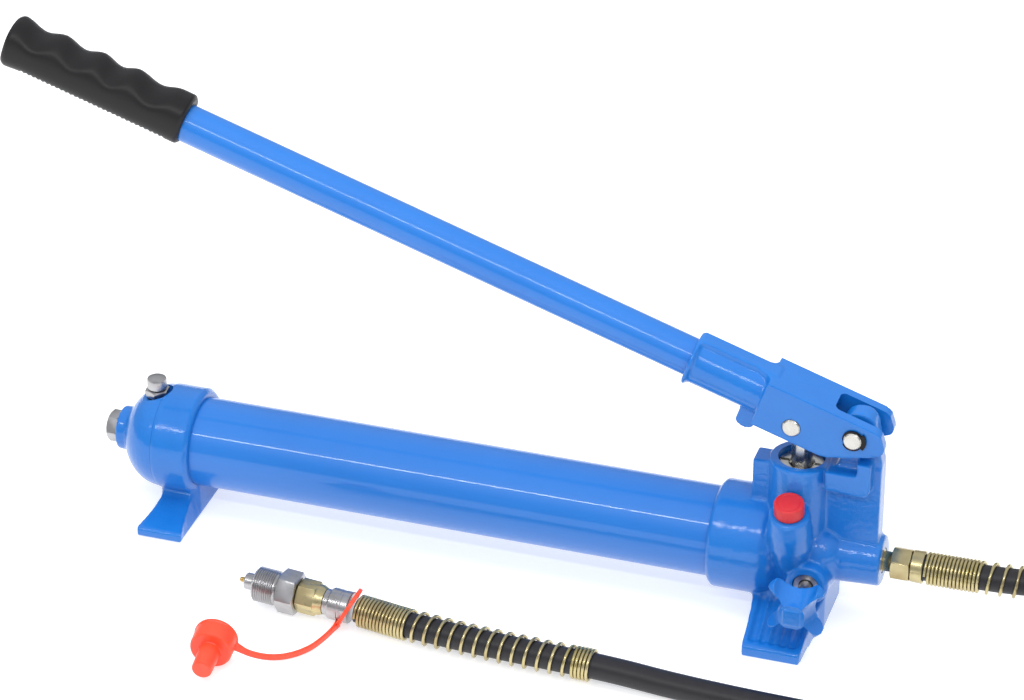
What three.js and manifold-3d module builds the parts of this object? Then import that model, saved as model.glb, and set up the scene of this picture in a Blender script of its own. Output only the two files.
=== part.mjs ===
// Two-tube hydraulic hand pump with its hose and coupler. Millimetres, +Z up.
// The origin is on the floor, under the plunger, in the middle of the front foot.
// +X runs along the reservoir towards the hose outlet, and -Y is the side with the release knob.
import * as THREE from 'three';
import { mergeVertices } from 'three/addons/utils/BufferGeometryUtils.js';
import Module from 'manifold-3d';

const wasm = await Module();
wasm.setup();

// ---- driving dimensions ----
const GAP = 0.3;                 // clearance between touching pieces

const RESERVOIR_Z = 44;          // height of the reservoir's axis
const TUBE_R = 28.5;
const TUBE_BORE = 26;
const FRONT_COLLAR_X = -51;      // mouth of the front collar
const REAR_COLLAR_X = -391.7;    // mouth of the rear collar
const COLLAR_R = 34;
const SOCKET_DEPTH = 12.3;
const SEAL_THICK = 1.7;

const BAND_X = -415.7;           // where the rear collar turns into the dome
const DOME_LENGTH = 28.3;
const BOSS_X = -448.5;           // face of the rear boss
const FILLER_X = -423;
const FILLER_SEAT_Z = 71.5;

const BORE_R = 6.9;              // pump cylinder
const PLUNGER_R = 6.5;
const PLUNGER_BOTTOM = 58;
const MOUTH_Z = 108.4;
const MOUTH_R = 14.45;
const CYLINDER_R = 19.6;

const OUTLET_Z = 43.5;
const OUTLET_X = 54;             // face of the outlet boss
const OUTLET_R = 16;
const CHECK_Z = 46.5;            // height of the outlet check ball

const RELEASE = { x: 12.7, z: 35, mouthY: -30, bossR: 13.5 };
const RELIEF = { x: 0, y: -27.5, z: 84, tilt: THREE.MathUtils.degToRad(12), bossR: 10.8 };

const PIVOT = new THREE.Vector3(34.3, 0, 136.1);
const PLUNGER_PIN = new THREE.Vector3(-3.8, 0, 137.5);
const PIN_R = 5.6;
const LEVER_ANGLE = THREE.MathUtils.degToRad(18.4);
const LEVER_AXIS = -5.3;         // lever tube's axis, below the pivot across the lever
const LEVER_R = 12;
const HEAD_HALF = 16.5;
const EAR_GAP = 8.4;             // half the slot between the ears

const HOSE_R = 8;
const GUARD_R = 10.4;
const COIL = { x: 258, y: -38, r: 84, low: 9.2, turnGap: 16 };

// ---- materials ----
const finish = (color, roughness, metalness) =>
  new THREE.MeshStandardMaterial({ color, roughness, metalness });
const enamel = finish('#2f7fe0', 0.25, 0.0);
const enamelCast = finish('#2c7bdc', 0.35, 0.0);
const zinc = finish('#b9bbbd', 0.35, 1.0);
const yellowZinc = finish('#b8a868', 0.35, 1.0);
const steel = finish('#c4c4c0', 0.3, 1.0);
const blackSteel = finish('#1c1b20', 0.45, 0.6);
const brass = finish('#b58e4c', 0.35, 1.0);
const copper = finish('#b0704c', 0.4, 1.0);
const blackRubber = finish('#2e2c30', 0.6, 0.0);
const sealRubber = finish('#1d1d1f', 0.7, 0.0);
const redPlastic = finish('#d5302f', 0.4, 0.0);
const orangePlastic = finish('#f04a2c', 0.4, 0.0);

// ---- helpers: closed geometry, booleans and placing ----
const pump = new THREE.Group();

// Merges shared vertices, drops needle triangles at the poles and turns the faces outwards.
function closed(geometry) {
  const bare = geometry.clone();
  for (const name of ['normal', 'uv']) bare.deleteAttribute(name);
  const merged = mergeVertices(bare, 1e-4);
  const p = merged.attributes.position;
  const kept = [];
  let volume = 0;
  const [a, b, c] = [new THREE.Vector3(), new THREE.Vector3(), new THREE.Vector3()];
  for (let i = 0; i < merged.index.count; i += 3) {
    const [i0, i1, i2] = [0, 1, 2].map((k) => merged.index.getX(i + k));
    if (i0 === i1 || i1 === i2 || i2 === i0) continue;
    kept.push(i0, i1, i2);
    volume += a.fromBufferAttribute(p, i0).dot(
      b.fromBufferAttribute(p, i1).cross(c.fromBufferAttribute(p, i2)));
  }
  if (volume < 0) kept.reverse();
  merged.setIndex(kept);
  return merged;
}

function solid(geometry) {
  const g = closed(geometry);
  return new wasm.Manifold(new wasm.Mesh({
    numProp: 3,
    vertProperties: new Float32Array(g.attributes.position.array),
    triVerts: new Uint32Array(g.index.array),
  }));
}

function fromSolid(manifold) {
  const m = manifold.getMesh();
  const g = new THREE.BufferGeometry();
  g.setAttribute('position', new THREE.BufferAttribute(new Float32Array(m.vertProperties), 3));
  g.setIndex(Array.from(m.triVerts));
  g.computeVertexNormals();
  return g;
}

const join = (...pieces) => pieces.map(solid).reduce((all, next) => all.add(next));
const carve = (body, ...tools) => tools.map(solid).reduce((left, tool) => left.subtract(tool), body);

function add(name, shape, material, parent = pump) {
  const geometry = shape.isBufferGeometry ? closed(shape) : fromSolid(shape);
  const mesh = new THREE.Mesh(geometry, material);
  mesh.name = name;
  parent.add(mesh);
  return mesh;
}

const moved = (g, x, y, z) => g.clone().translate(x, y, z);

// A turned shape about Z from [radius, height] points, from the axis back to the axis.
const turned = (points, sides = 16) =>
  new THREE.LatheGeometry(points.map(([r, h]) => new THREE.Vector2(r, h)), sides).rotateX(Math.PI / 2);
const rod = (r, z0, z1, sides = 16) => turned([[0, z0], [r, z0], [r, z1], [0, z1]], sides);
const ring = (outer, inner, z0, z1, sides = 16) =>
  turned([[inner, z0], [outer, z0], [outer, z1], [inner, z1], [inner, z0]], sides);
const sphere = (r) => turned(
  Array.from({ length: 7 }, (_, i) => [r * Math.sin(Math.PI * i / 6), -r * Math.cos(Math.PI * i / 6)]), 10);

// Turns a shape made about Z so that it lies along X or along -Y.
const alongX = (g) => g.clone().rotateY(Math.PI / 2);
const alongMinusY = (g) => g.clone().rotateX(Math.PI / 2);

const box = (x0, x1, y0, y1, z0, z1) =>
  new THREE.BoxGeometry(x1 - x0, y1 - y0, z1 - z0)
    .translate((x0 + x1) / 2, (y0 + y1) / 2, (z0 + z1) / 2);

// A hexagon bar about Z, with one corner towards `corner` radians.
function hexBar(acrossFlats, z0, z1, corner = 0) {
  const r = acrossFlats / Math.sqrt(3);
  const c = Math.min(0.8, (z1 - z0) / 6);
  return turned([[0, z0], [r - c, z0], [r, z0 + c], [r, z1 - c], [r - c, z1], [0, z1]], 6).rotateZ(corner);
}

// An outline in X and Z made `width` thick about y = 0.
function plateXZ(shape, width, curveSegments = 8) {
  const g = new THREE.ExtrudeGeometry(shape, { depth: width, bevelEnabled: false, curveSegments });
  return g.translate(0, 0, -width / 2).rotateX(Math.PI / 2);
}

// A compression spring about Z.
function coilSpring(radius, wire, z0, z1, turns) {
  const steps = turns * 8;
  const points = Array.from({ length: steps + 1 }, (_, i) => {
    const a = 2 * Math.PI * turns * i / steps;
    return new THREE.Vector3(radius * Math.cos(a), radius * Math.sin(a), z0 + (z1 - z0) * i / steps);
  });
  return along(new THREE.CatmullRomCurve3(points), circleShape(wire, 4), steps);
}

function circleShape(r, sides, hole = 0) {
  const ngon = (radius) => Array.from({ length: sides }, (_, i) => {
    const a = 2 * Math.PI * i / sides;
    return new THREE.Vector2(radius * Math.cos(a), radius * Math.sin(a));
  });
  const shape = new THREE.Shape(ngon(r));
  if (hole > 0) shape.holes.push(new THREE.Path(ngon(hole)));
  return shape;
}

const along = (curve, shape, steps) =>
  new THREE.ExtrudeGeometry(shape, { extrudePath: curve, steps, bevelEnabled: false });

// ---- reservoir: tube, rear cap, tie bolt and seals ----
const reservoir = new THREE.Group();
reservoir.position.set(0, 0, RESERVOIR_Z);
pump.add(reservoir);

const frontShoulder = FRONT_COLLAR_X + SOCKET_DEPTH;
const rearShoulder = REAR_COLLAR_X - SOCKET_DEPTH;
const tubeEnds = [rearShoulder + SEAL_THICK + 2 * GAP, frontShoulder - SEAL_THICK - 2 * GAP];
add('reservoir_tube', alongX(ring(TUBE_R, TUBE_BORE, ...tubeEnds, 32)), enamel, reservoir);
add('rear_tube_seal', alongX(ring(TUBE_R, TUBE_BORE, rearShoulder + GAP, rearShoulder + GAP + SEAL_THICK, 24)),
  sealRubber, reservoir);
add('front_tube_seal', alongX(ring(TUBE_R, TUBE_BORE, frontShoulder - GAP - SEAL_THICK, frontShoulder - GAP, 24)),
  sealRubber, reservoir);

// A foot: flat below, thin at its two tips and rising to meet the casting above it.
function foot(x0, x1, tipY, tipThick, rootY, rootZ, taper = 0) {
  const side = new THREE.Shape();
  side.moveTo(-tipY, 0);
  side.lineTo(tipY, 0);
  side.lineTo(tipY, tipThick);
  side.lineTo(rootY, rootZ);
  side.lineTo(-rootY, rootZ);
  side.lineTo(-tipY, tipThick);
  const g = new THREE.ExtrudeGeometry(side, { depth: x1 - x0, bevelEnabled: false });
  g.rotateX(Math.PI / 2).rotateZ(Math.PI / 2).translate(x0, 0, 0);
  const p = g.attributes.position;
  const mid = (x0 + x1) / 2;
  for (let i = 0; i < p.count; i += 1) {
    const k = (Math.abs(p.getY(i)) - rootY) / (tipY - rootY);
    if (k > 0) p.setX(i, mid + (p.getX(i) - mid) * (1 - taper * k));
  }
  return g;
}

function rearCap() {
  const outer = [[0, BOSS_X], [13.4, BOSS_X], [14.2, BOSS_X + 0.8], [14.2, BAND_X - DOME_LENGTH * 0.92]];
  for (let i = 2; i <= 6; i += 1) {
    const a = (Math.PI / 2) * (i / 6);
    outer.push([33.4 * Math.sin(a), BAND_X - DOME_LENGTH * Math.cos(a)]);
  }
  outer.push([COLLAR_R, BAND_X + 0.6], [COLLAR_R, REAR_COLLAR_X - 3], [COLLAR_R - 3, REAR_COLLAR_X],
    [0, REAR_COLLAR_X]);
  const cavity = [[0, -439], [9, -439], [24, -424], [24, rearShoulder + 0.01], [0, rearShoulder + 0.01]];
  const shell = join(moved(alongX(turned(outer, 32)), 0, 0, RESERVOIR_Z),
    foot(-416.2, -391.2, 54, 5.8, 16, 16));
  return carve(shell,
    moved(alongX(turned(cavity, 16)), 0, 0, RESERVOIR_Z),
    moved(alongX(rod(TUBE_R + 0.5, rearShoulder, REAR_COLLAR_X + 1, 32)), 0, 0, RESERVOIR_Z),
    moved(alongX(rod(4.4, BOSS_X - 1, -436)), 0, 0, RESERVOIR_Z),
    moved(alongX(rod(7, BOSS_X - 1, BOSS_X + 2)), 0, 0, RESERVOIR_Z),
    moved(rod(10.2, FILLER_SEAT_Z, 90, 20), FILLER_X, 0, 0),
    moved(rod(5.4, 55, 90, 12), FILLER_X, 0, 0));
}
add('rear_end_cap', rearCap(), enamelCast);

const tieBolt = join(alongX(hexBar(18, BOSS_X - 8.2, BOSS_X - 0.05 - GAP, Math.PI / 6)),
  alongX(rod(4, BOSS_X - 2, -19, 16)));
add('tie_bolt', tieBolt, zinc, reservoir);
add('tie_bolt_seal', alongX(ring(6.6, 4.5, BOSS_X + GAP, BOSS_X + 1.7)), copper, reservoir);

// ---- filler plug with its screwed vent cap ----
const filler = new THREE.Group();
filler.position.set(FILLER_X, 0, FILLER_SEAT_Z);
pump.add(filler);
add('filler_seal', ring(7, 5.6, GAP, 1.1), sealRubber, filler);
add('filler_plug_body', carve(join(hexBar(14, 1.4, 6.4, Math.PI / 5), rod(4.9, -9, 2)), rod(2.6, -10, 8)),
  zinc, filler);
add('vent_cap', join(rod(6.2, 7, 13.1, 28), rod(4.6, 6.7, 7.5), rod(2.3, -4, 7.5, 14)), zinc, filler);

// ---- pump body casting ----
function finShape() {
  const [x0, x1, top] = [24, 51.5, 151.7];
  const r = (x1 - x0) / 2;
  const s = new THREE.Shape();
  s.moveTo(x0 - 14, 40);
  s.lineTo(x1, 40);
  s.lineTo(x1, top - r);
  s.absarc(x0 + r, top - r, r, 0, Math.PI, false);
  s.lineTo(x0, 101);
  s.lineTo(x0 - 14, 101);
  return s;
}

function stopShape() {
  const s = new THREE.Shape();
  s.moveTo(18, 96);
  s.lineTo(41, 96);
  s.absarc(41, 101, 5, -Math.PI / 2, 0, false);
  s.lineTo(46, 118);
  s.lineTo(37.5, 118);
  s.lineTo(37.5, 110);
  s.lineTo(18, 110);
  return s;
}

// Shapes made about Z and set along the relief valve's tilted axis.
const onRelief = (g) => moved(g.clone().rotateX(RELIEF.tilt), RELIEF.x, RELIEF.y, RELIEF.z);

function pumpBody() {
  const collar = [[0, FRONT_COLLAR_X], [COLLAR_R - 2.5, FRONT_COLLAR_X], [COLLAR_R, FRONT_COLLAR_X + 2.5],
    [COLLAR_R, -18], [COLLAR_R - 3, -12], [COLLAR_R - 9, -7], [0, -7]];
  const casting = join(
    moved(alongX(turned(collar, 32)), 0, 0, RESERVOIR_Z),
    moved(alongX(turned([[0, -20], [25, -20], [24, 6], [19, 18], [0, 20]], 20)), 0, 0, RESERVOIR_Z),
    rod(CYLINDER_R, 22, MOUTH_Z, 28),
    moved(alongX(turned([[0, 0], [OUTLET_R, 0], [OUTLET_R, OUTLET_X - 1], [OUTLET_R - 1, OUTLET_X],
      [0, OUTLET_X]], 24)), 0, 0, OUTLET_Z),
    moved(alongMinusY(turned([[0, 0], [15, 0], [RELEASE.bossR, 22], [RELEASE.bossR, 29],
      [RELEASE.bossR - 1, 30], [0, 30]], 20)), RELEASE.x, 0, RELEASE.z),
    onRelief(turned([[0, -52], [5, -52], [RELIEF.bossR, -26], [RELIEF.bossR, -1], [RELIEF.bossR - 1, 0],
      [0, 0]])),
    plateXZ(finShape(), 15, 7),
    plateXZ(stopShape(), 32, 5),
    box(-28.6, -14, -8, 8, 72, 105.5),
    foot(-23, 23, 63.5, 7, 26, 20, 0.28));
  return carve(casting,
    moved(alongX(rod(TUBE_R + 0.5, FRONT_COLLAR_X - 1, frontShoulder, 32)), 0, 0, RESERVOIR_Z),
    moved(alongX(rod(24, frontShoulder - 1, -30)), 0, 0, RESERVOIR_Z),
    moved(alongX(rod(4.4, -31, -18, 10)), 0, 0, RESERVOIR_Z),
    rod(MOUTH_R, 88, MOUTH_Z + 1, 24),
    rod(10, 80, 89),
    rod(BORE_R, 30, 81),
    rod(3, 23.5, 31, 8),
    moved(alongX(rod(2, -31, 0, 6)), 0, 0, 26),
    moved(alongX(rod(1.4, 0, 21, 6)), 0, 0, CHECK_Z),
    moved(alongX(rod(4.6, 20, 34.2)), 0, 0, CHECK_Z),
    moved(alongX(rod(8, 34, OUTLET_X + 1)), 0, 0, OUTLET_Z),
    moved(alongMinusY(rod(8.5, 20, 31)), RELEASE.x, 0, RELEASE.z),
    moved(alongMinusY(rod(4.4, 11, 21)), RELEASE.x, 0, RELEASE.z),
    moved(alongMinusY(rod(3.3, 4, 12)), RELEASE.x, 0, RELEASE.z),
    moved(rod(1.2, 34, CHECK_Z, 6), RELEASE.x, -4.5, 0),
    onRelief(rod(9.7, 0, 14)),
    onRelief(rod(5.4, -20, 1)),
    onRelief(rod(1.2, -24, -19, 6)),
    moved(alongMinusY(rod(1, 0, 23, 6)), RELIEF.x, 0, 60.6),
    moved(alongMinusY(rod(PIN_R + GAP, -12, 12)), PIVOT.x, 0, PIVOT.z));
}
add('pump_body', pumpBody(), enamelCast);

// ---- cylinder: gland, seal, plunger and inlet valve ----
add('gland_nut', carve(join(ring(14.1, BORE_R, 88.3, 104.5, 20)),
  box(-15, 15, -1.6, 1.6, 101.5, 106)), steel);
add('plunger_seal', ring(9.7, 6.8, 80.3, 87.9), sealRubber);

function plunger() {
  const eyeZ = PLUNGER_PIN.z;
  const eye = new THREE.Shape();
  eye.absarc(1.2, eyeZ, 9.6, -Math.PI / 2, Math.PI / 2, false);
  eye.absarc(-3.8, eyeZ, 9.6, Math.PI / 2, 3 * Math.PI / 2, false);
  const slot = new THREE.Path();
  slot.absarc(1.3, eyeZ, 6.1, -Math.PI / 2, Math.PI / 2, false);
  slot.absarc(-3.9, eyeZ, 6.1, Math.PI / 2, 3 * Math.PI / 2, false);
  eye.holes.push(slot);
  return join(rod(PLUNGER_R, PLUNGER_BOTTOM, eyeZ - 8), plateXZ(eye, 12, 8));
}
add('plunger', carve(plunger(), plateXZ(
  new THREE.Shape().absarc(1.3, PLUNGER_PIN.z, 6.1, -Math.PI / 2, Math.PI / 2, false)
    .absarc(-3.9, PLUNGER_PIN.z, 6.1, Math.PI / 2, 3 * Math.PI / 2, false), 30, 8)), steel);

add('inlet_seat', turned([[1.8, 30.3], [6.6, 30.3], [6.6, 35.3], [3.6, 35.3], [1.8, 33.5], [1.8, 30.3]]), steel);
add('inlet_ball', moved(sphere(3.5), 0, 0, 37.2), steel);
add('inlet_ball_stop', carve(join(rod(6.6, 42.4, 44.2)), ...[0, 1, 2, 3].map((i) => moved(
  rod(1.3, 42, 45, 6), 4.4 * Math.cos(i * Math.PI / 2), 4.4 * Math.sin(i * Math.PI / 2), 0))), steel);

// ---- suction line inside the reservoir ----
add('suction_tube', moved(alongX(ring(2.6, 1.6, -330, -30.4, 8)), 0, 0, 26), copper);
add('suction_strainer', moved(alongX(turned([[3, -341], [4.6, -341], [4.6, -338], [4.6, -318], [2.9, -318],
  [2.9, -321], [3.6, -321], [3.6, -336], [3, -336], [3, -341]], 10)), 0, 0, 26), brass);

// ---- outlet check valve and hose adapter ----
add('outlet_ball', moved(sphere(3.4), 24.4, 0, CHECK_Z), steel);
add('outlet_spring', moved(alongX(coilSpring(2.8, 0.5, 28.8, 32.8, 3)), 0, 0, CHECK_Z), steel);
const adapter = [[2, 34.5], [7.6, 34.5], [7.6, 53.6], [6.3, 54.4], [6.3, 60.4], [2, 60.4], [2, 34.5]];
add('outlet_adapter', carve(join(turned(adapter), hexBar(19, 59.6, 71.6)), rod(2, 33, 73, 16))
  .rotate([0, 90, 0]).translate([0, 0, OUTLET_Z]), yellowZinc);

// ---- relief valve under its red cap ----
add('relief_ball', onRelief(moved(sphere(2.4), 0, 0, -17.4)), steel);
add('relief_spring', onRelief(coilSpring(3, 0.55, -14.2, -8.4, 3)), steel);
add('relief_screw', onRelief(turned([[0, -7.5], [5, -7.5], [5, -3.2], [2, -3.2], [2, -4.8], [0, -4.8]])), steel);
add('relief_cap', onRelief(turned([[0, -1.9], [5, -1.9], [5, GAP], [9.3, GAP], [9.3, 8.4], [8.3, 9.5],
  [0, 9.5]], 20)), redPlastic);

// ---- release valve: needle, spindle, gland and four-lobed knob ----
const onRelease = (g) => moved(alongMinusY(g), RELEASE.x, 0, RELEASE.z);
add('release_needle', onRelease(turned([[0, 5], [3, 8], [3, 13.4], [0, 13.4]], 16)), steel);
add('release_seal', onRelease(ring(7.9, 4.5, 20.3, 22.2)), sealRubber);
add('release_gland', onRelease(ring(8.1, 4.5, 22.5, 29.4)), zinc);
add('release_spindle', onRelease(rod(4, 13.8, 59, 18)), zinc);

function knobShape() {
  const outline = new THREE.Shape();
  const steps = 32;
  for (let i = 0; i < steps; i += 1) {
    const a = 2 * Math.PI * i / steps;
    const r = 16.4 + 5.6 * Math.sign(-Math.cos(4 * a)) * Math.abs(Math.cos(4 * a)) ** 0.8;
    const [x, y] = [r * Math.cos(a), r * Math.sin(a)];
    if (i === 0) outline.moveTo(x, y);
    else outline.lineTo(x, y);
  }
  const lobes = new THREE.ExtrudeGeometry(outline,
    { depth: 6, bevelEnabled: true, bevelThickness: 3.5, bevelSize: 3, bevelOffset: -3, bevelSegments: 1 });
  return carve(join(lobes.translate(0, 0, 51.5), rod(8.5, 47.5, 66)), rod(4.3, 46, 59.6));
}
const knob = fromSolid(knobShape());
add('release_knob', onRelease(knob), enamelCast);

// ---- handle: head, tube, grip and pins, on the lever's own axes ----
const lever = new THREE.Group();
lever.position.copy(PIVOT);
lever.rotation.y = LEVER_ANGLE;
pump.add(lever);

function headSide() {
  const s = new THREE.Shape();
  s.moveTo(-60, -20.8);
  s.lineTo(-18, -20.8);
  s.quadraticCurveTo(-10, -20.2, -2, -15.5);
  s.lineTo(14, -6.8);
  s.quadraticCurveTo(19.5, -3.4, 19.5, 2.7);
  s.quadraticCurveTo(18.6, 9.4, 9, 11.2);
  s.lineTo(-60, 11.2);
  return s;
}

const onLever = (g) => moved(alongX(g), 0, 0, LEVER_AXIS);
function handleHead() {
  const tab = new THREE.Shape();
  tab.moveTo(-70, -12);
  tab.lineTo(-70, -29);
  tab.absarc(-67, -29, 3, Math.PI, 1.5 * Math.PI, false);
  tab.absarc(-61, -29, 3, 1.5 * Math.PI, 2 * Math.PI, false);
  tab.lineTo(-58, -12);
  const block = join(plateXZ(headSide(), 2 * HEAD_HALF, 5),
    onLever(turned([[0, -109], [16, -109], [16.9, -108], [16.9, -107], [14.4, -105.5], [14.4, -58], [0, -58]], 24)),
    box(-107, -58, -5.3, 5.3, 0, 11.3),
    plateXZ(tab, 12, 4));
  return carve(block,
    onLever(rod(LEVER_R + 0.4, -110, -66, 24)),
    box(-54, 25, -EAR_GAP, EAR_GAP, -40, 3.5),
    box(-18, 25, -EAR_GAP, EAR_GAP, -40, 20),
    alongMinusY(rod(PIN_R + 1, -20, 20)),
    moved(alongMinusY(rod(PIN_R + GAP, -20, 20)), ...pinOnLever().toArray()));
}
// The plunger pin's place on the lever's own axes.
function pinOnLever() {
  return PLUNGER_PIN.clone().sub(PIVOT).applyAxisAngle(new THREE.Vector3(0, 1, 0), -LEVER_ANGLE);
}
add('handle_head', handleHead(), enamelCast, lever);
add('handle_tube', onLever(ring(LEVER_R, 9.8, -560, -66.4, 24)), enamel, lever);

// The grip is rounder below and has four finger hollows on top, between five crests.
function grip() {
  const [end, mouth] = [-570, -449.5];
  const crest = [-566.7, -539, -513, -488.8, -459.4];
  const s = new THREE.Shape();
  s.moveTo(mouth, -8);
  s.lineTo(mouth, 10);
  s.lineTo(mouth - 3, 12.6);
  for (let i = crest.length - 1; i > 0; i -= 1) {
    const [from, to] = [crest[i], crest[i - 1]];
    s.lineTo(from, 13.1);
    s.quadraticCurveTo((from + to) / 2, 6.6, to, 13.1);
  }
  s.lineTo(end, 12);
  s.lineTo(end, -15);
  s.lineTo(end + 4, -18.6);
  s.lineTo(mouth - 6, -18.6);
  s.lineTo(mouth, -15);
  const bar = new THREE.ExtrudeGeometry(s, { depth: 20, bevelEnabled: true, bevelThickness: 5,
    bevelSize: 3, bevelOffset: -3, bevelSegments: 1, curveSegments: 4 });
  return carve(solid(bar.translate(0, 0, -10).rotateX(Math.PI / 2)), onLever(rod(LEVER_R + 0.4, -564, -440, 24)));
}
add('handle_grip', grip(), blackRubber, lever);

const pinBar = (half) => turned([[0, -half], [PIN_R - 0.6, -half], [PIN_R, -half + 0.6], [PIN_R, half - 0.6],
  [PIN_R - 0.6, half], [0, half]]);
add('plunger_pin', moved(alongMinusY(pinBar(17.4)), ...pinOnLever().toArray()), steel, lever);

// The pivot pin stays in the fin. A spring clip sits in a groove at each end.
const CLIP = { from: 16.9, to: 17.9, grooveR: 4.8 };
const groove = (side) => ring(PIN_R + 1, CLIP.grooveR, side * CLIP.from - (side < 0 ? 1.2 : 0.2),
  side * CLIP.from + (side < 0 ? 0.2 : 1.2));
const atPivot = (g) => moved(alongMinusY(g), PIVOT.x, PIVOT.y, PIVOT.z);
add('pivot_pin', carve(solid(atPivot(pinBar(18.9))), atPivot(groove(1)), atPivot(groove(-1))), steel);
function eClip(side) {
  const z0 = side > 0 ? CLIP.from : -CLIP.to;
  return carve(join(ring(9, CLIP.grooveR + GAP, z0, z0 + 1)), box(-12, 0, -3.6, 3.6, z0 - 1, z0 + 2));
}
[['near', 1], ['far', -1]].forEach(([name, side]) =>
  add(`pivot_clip_${name}`, atPivot(fromSolid(eClip(side))), blackSteel));

// ---- hose: route, uncoiled stretches, coil and tie ----
const at = (x, y, z) => new THREE.Vector3(x, y, z);
const coilPoint = (angle, z) => at(COIL.x + COIL.r * Math.cos(angle), COIL.y + COIL.r * Math.sin(angle), z);
const deg = THREE.MathUtils.degToRad;
const pumpEnd = new THREE.CatmullRomCurve3([
  at(72, 0, 43.5), at(86, 0, 43.5), at(100, 0, 43.6), at(114, 0.1, 43.8), at(128, 0.5, 44.0),
  at(141, 1.7, 44.2), at(154, 4.3, 44.3), at(167, 8.2, 44.4), at(179, 12.9, 44.5), at(189.5, 16.9, 44.6),
  coilPoint(deg(134), 44.6), coilPoint(deg(124), 44.6), coilPoint(deg(113), 44.5), coilPoint(deg(101), 43.9),
  coilPoint(deg(88), 42.4)]);
const toolEnd = new THREE.CatmullRomCurve3([
  at(203, -122, 8.6), at(180, -122, 8.2), at(150, -122, 8.1), at(120, -122, 8.1), at(90, -121.8, 8.1),
  at(60, -121.4, 8.1), at(30, -121, 8.1), at(0, -120.3, 8.1), at(-28.5, -119, 8.2), at(-52, -117.7, 8.6),
  at(-75, -116.7, 9.8), at(-98, -116.1, 10.6), at(-125, -115.6, 10.7), at(-155, -114.5, 10.7),
  at(-186, -112.8, 10.8), at(-217.5, -110, 11.1), at(-240, -107.4, 12.0), at(-250, -106.5, 12.5)]);

// The part of a curve between two distances from its start.
function stretch(curve, from, to, points = 10) {
  const length = curve.getLength();
  return new THREE.CatmullRomCurve3(Array.from({ length: points }, (_, i) =>
    curve.getPointAt((from + (to - from) * i / (points - 1)) / length)));
}

const GUARD_LENGTH = 155;
add('hose_pump_end', along(pumpEnd, circleShape(HOSE_R, 8), 12), blackRubber);
add('hose_tool_end', along(toolEnd, circleShape(HOSE_R, 8), 18), blackRubber);
add('pump_end_guard', along(stretch(pumpEnd, 8, GUARD_LENGTH), circleShape(GUARD_R, 10, 8.9), 8), yellowZinc);
const toolLength = toolEnd.getLength();
add('tool_end_guard', along(stretch(toolEnd, toolLength - GUARD_LENGTH, toolLength - 0.5),
  circleShape(GUARD_R, 10, 8.9), 8), yellowZinc);
add('pump_end_ferrule', moved(alongX(turned([[8.6, 72], [9.8, 72], [10.2, 79.4], [8.6, 79.4], [8.6, 72]])),
  0, 0, OUTLET_Z), zinc);

const coilTop = COIL.low + COIL.turnGap + HOSE_R;
add('hose_coil', moved(turned([[COIL.r - HOSE_R, 1.2 + 2], [COIL.r - HOSE_R + 3, 1.2], [COIL.r + HOSE_R - 3, 1.2],
  [COIL.r + HOSE_R, 3.2], [COIL.r + HOSE_R, coilTop - 3], [COIL.r + HOSE_R - 3, coilTop],
  [COIL.r - HOSE_R + 3, coilTop], [COIL.r - HOSE_R, coilTop - 3], [COIL.r - HOSE_R, 3.2]], 32),
COIL.x, COIL.y, 0), blackRubber);
function coilTie() {
  const [inner, outer] = [HOSE_R + 0.8, HOSE_R + 1.7];
  return carve(solid(box(COIL.r - outer, COIL.r + outer, -6, 6, 0.1, coilTop + 1.2)),
    box(COIL.r - inner, COIL.r + inner, -7, 7, 0.9, coilTop + 0.3));
}
add('coil_tie', coilTie().translate([COIL.x, COIL.y, 0]), sealRubber);

// ---- tool end: ferrule, swivel nut, coupler and poppet, on one inclined axis ----
const coupler = new THREE.Group();
coupler.position.set(-252, -106.3, 12.6);
coupler.lookAt(at(-326.2, -101.8, 15.8));
pump.add(coupler);
coupler.updateMatrixWorld(true);
add('tool_end_ferrule', turned([[0, 1.9], [9, 1.9], [10, 3.5], [10, 15], [8.2, 15.6], [8.2, 18.8], [0, 18.8]]),
  zinc, coupler);
add('hose_nut', join(turned([[0, 19.2], [8.3, 19.2], [9.6, 22], [9.6, 25], [0, 25]]),
  hexBar(19, 24, 36.4, Math.PI / 2)), yellowZinc, coupler);
const couplerBody = join(hexBar(24, 36.8, 49.2, Math.PI / 2),
  turned([[0, 49], [10.2, 49], [10.2, 51], [11, 52], [11, 64.4], [9.8, 65.8], [0, 65.8]], 20),
  rod(5.3, 65, 72.8));
add('coupler_body', carve(couplerBody, rod(1.9, 71, 74, 10), rod(3.9, 55, 71.2, 12), rod(1.8, 40, 56, 8)),
  zinc, coupler);
add('coupler_poppet', turned([[0, 64.5], [3.5, 64.5], [3.5, 68], [1.6, 68], [1.6, 76.2], [1, 77], [0, 77]], 10),
  brass, coupler);
add('coupler_spring', coilSpring(2.8, 0.5, 56.2, 63.4, 4), steel, coupler);

// ---- dust cap with its strap and the loop around the ferrule ----
const cap = new THREE.Group();
cap.position.set(-320.6, -162, 14.7);
cap.lookAt(at(-317.9, -194.6, 11.5));
pump.add(cap);
add('dust_cap', turned([[11.8, 0], [13.6, 0], [13.9, 1], [13.2, 13], [12.4, 14], [6.9, 14.4], [6.3, 31.8],
  [5.6, 32.5], [0, 32.5], [0, 30.8], [5, 30.8], [5.4, 12.6], [11.4, 12.4], [11.8, 0]], 20), orangePlastic, cap);

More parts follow.
